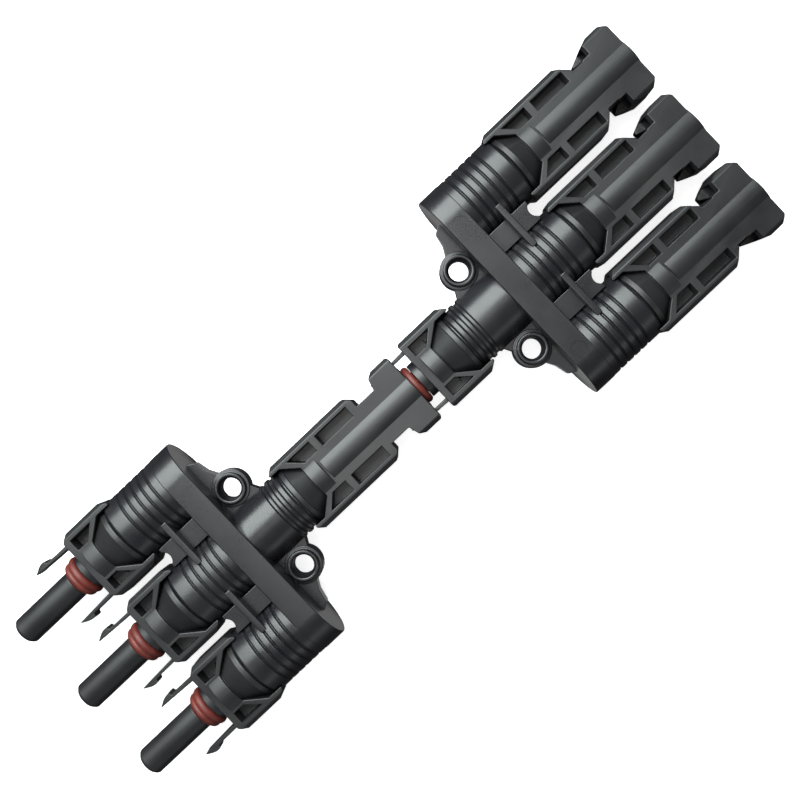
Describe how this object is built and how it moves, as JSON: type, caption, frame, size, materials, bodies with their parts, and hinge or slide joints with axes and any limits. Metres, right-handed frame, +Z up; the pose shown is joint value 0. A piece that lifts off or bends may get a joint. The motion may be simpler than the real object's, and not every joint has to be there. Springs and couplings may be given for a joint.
{
  "type": "solar cable branch connector pair",
  "caption": "Two plugged-together multi-way branch manifolds with sealed latching plug couplers, pin shells and screw ears, for joining solar panel cables.",
  "frame": {"origin": "middle of the pair, on the surface it lies on", "axes": "+X from the socket unit to the pin unit, along the ports; +Y across the ports; +Z up"},
  "size_m": [0.2226, 0.0708, 0.0203],
  "materials": {
    "manifold_plastic": "satin black glass-filled moulding",
    "coupler_plastic": "satin black glass-filled moulding",
    "latch_plastic": "satin black moulding",
    "seal_rubber": "red silicone",
    "tinned_copper": "tin plated",
    "spring_brass": "bright spring brass",
    "clip_steel": "stainless spring steel",
    "bus_copper": "bare copper"
  },
  "bodies": {
    "unit_a": {"a_manifold_body": "manifold_plastic", "a_busbar": "bus_copper", "a_pin_shell_4": "coupler_plastic", "a_pin_contact_4": "tinned_copper", "a_pin_clip_4": "clip_steel", "a_socket_housing_1": "coupler_plastic", "a_o_ring_1": "seal_rubber", "a_socket_contact_1": "tinned_copper", "a_contact_lamella_1": "spring_brass", "a_socket_clip_1": "clip_steel", "a_socket_housing_2": "coupler_plastic", "a_o_ring_2": "seal_rubber", "a_socket_contact_2": "tinned_copper", "a_contact_lamella_2": "spring_brass", "a_socket_clip_2": "clip_steel", "a_socket_housing_3": "coupler_plastic", "a_o_ring_3": "seal_rubber", "a_socket_contact_3": "tinned_copper", "a_contact_lamella_3": "spring_brass", "a_socket_clip_3": "clip_steel"},
    "unit_b": {"b_manifold_body": "manifold_plastic", "b_busbar": "bus_copper", "b_socket_housing_4": "coupler_plastic", "b_o_ring_4": "seal_rubber", "b_socket_contact_4": "tinned_copper", "b_contact_lamella_4": "spring_brass", "b_socket_clip_4": "clip_steel", "b_pin_shell_1": "coupler_plastic", "b_pin_contact_1": "tinned_copper", "b_pin_clip_1": "clip_steel", "b_pin_shell_2": "coupler_plastic", "b_pin_contact_2": "tinned_copper", "b_pin_clip_2": "clip_steel", "b_pin_shell_3": "coupler_plastic", "b_pin_contact_3": "tinned_copper", "b_pin_clip_3": "clip_steel"},
    "a_latch_arm_1_left": {"a_latch_arm_1_left": "latch_plastic"},
    "a_latch_arm_1_right": {"a_latch_arm_1_right": "latch_plastic"},
    "a_latch_arm_2_left": {"a_latch_arm_2_left": "latch_plastic"},
    "a_latch_arm_2_right": {"a_latch_arm_2_right": "latch_plastic"},
    "a_latch_arm_3_left": {"a_latch_arm_3_left": "latch_plastic"},
    "a_latch_arm_3_right": {"a_latch_arm_3_right": "latch_plastic"},
    "b_latch_arm_4_left": {"b_latch_arm_4_left": "latch_plastic"},
    "b_latch_arm_4_right": {"b_latch_arm_4_right": "latch_plastic"}
  },
  "joints": [
    {"name": "plug_slide", "type": "slide", "parent": "unit_a", "child": "unit_b", "axis": [1, 0, 0], "range_m": [-0.0036, 0.03]},
    {"name": "a_latch_1_left_flex", "type": "hinge", "parent": "unit_a", "child": "a_latch_arm_1_left", "pos_m": [-0.0844, 0.0158, 0.01015], "axis": [0, 0, -1], "range_deg": [0, 6], "stiffness_Nm_per_rad": 0.05},
    {"name": "a_latch_1_right_flex", "type": "hinge", "parent": "unit_a", "child": "a_latch_arm_1_right", "pos_m": [-0.0844, 0.0328, 0.01015], "axis": [0, 0, 1], "range_deg": [0, 6], "stiffness_Nm_per_rad": 0.05},
    {"name": "a_latch_2_left_flex", "type": "hinge", "parent": "unit_a", "child": "a_latch_arm_2_left", "pos_m": [-0.0844, -0.0085, 0.01015], "axis": [0, 0, -1], "range_deg": [0, 6], "stiffness_Nm_per_rad": 0.05},
    {"name": "a_latch_2_right_flex", "type": "hinge", "parent": "unit_a", "child": "a_latch_arm_2_right", "pos_m": [-0.0844, 0.0085, 0.01015], "axis": [0, 0, 1], "range_deg": [0, 6], "stiffness_Nm_per_rad": 0.05},
    {"name": "a_latch_3_left_flex", "type": "hinge", "parent": "unit_a", "child": "a_latch_arm_3_left", "pos_m": [-0.0844, -0.0328, 0.01015], "axis": [0, 0, -1], "range_deg": [0, 6], "stiffness_Nm_per_rad": 0.05},
    {"name": "a_latch_3_right_flex", "type": "hinge", "parent": "unit_a", "child": "a_latch_arm_3_right", "pos_m": [-0.0844, -0.0158, 0.01015], "axis": [0, 0, 1], "range_deg": [0, 6], "stiffness_Nm_per_rad": 0.05},
    {"name": "b_latch_4_left_flex", "type": "hinge", "parent": "unit_b", "child": "b_latch_arm_4_left", "pos_m": [0.0154, -0.0085, 0.01015], "axis": [0, 0, -1], "range_deg": [0, 1.8], "stiffness_Nm_per_rad": 0.05, "springref_deg": -3},
    {"name": "b_latch_4_right_flex", "type": "hinge", "parent": "unit_b", "child": "b_latch_arm_4_right", "pos_m": [0.0154, 0.0085, 0.01015], "axis": [0, 0, 1], "range_deg": [0, 1.8], "stiffness_Nm_per_rad": 0.05, "springref_deg": -3}
  ]
}
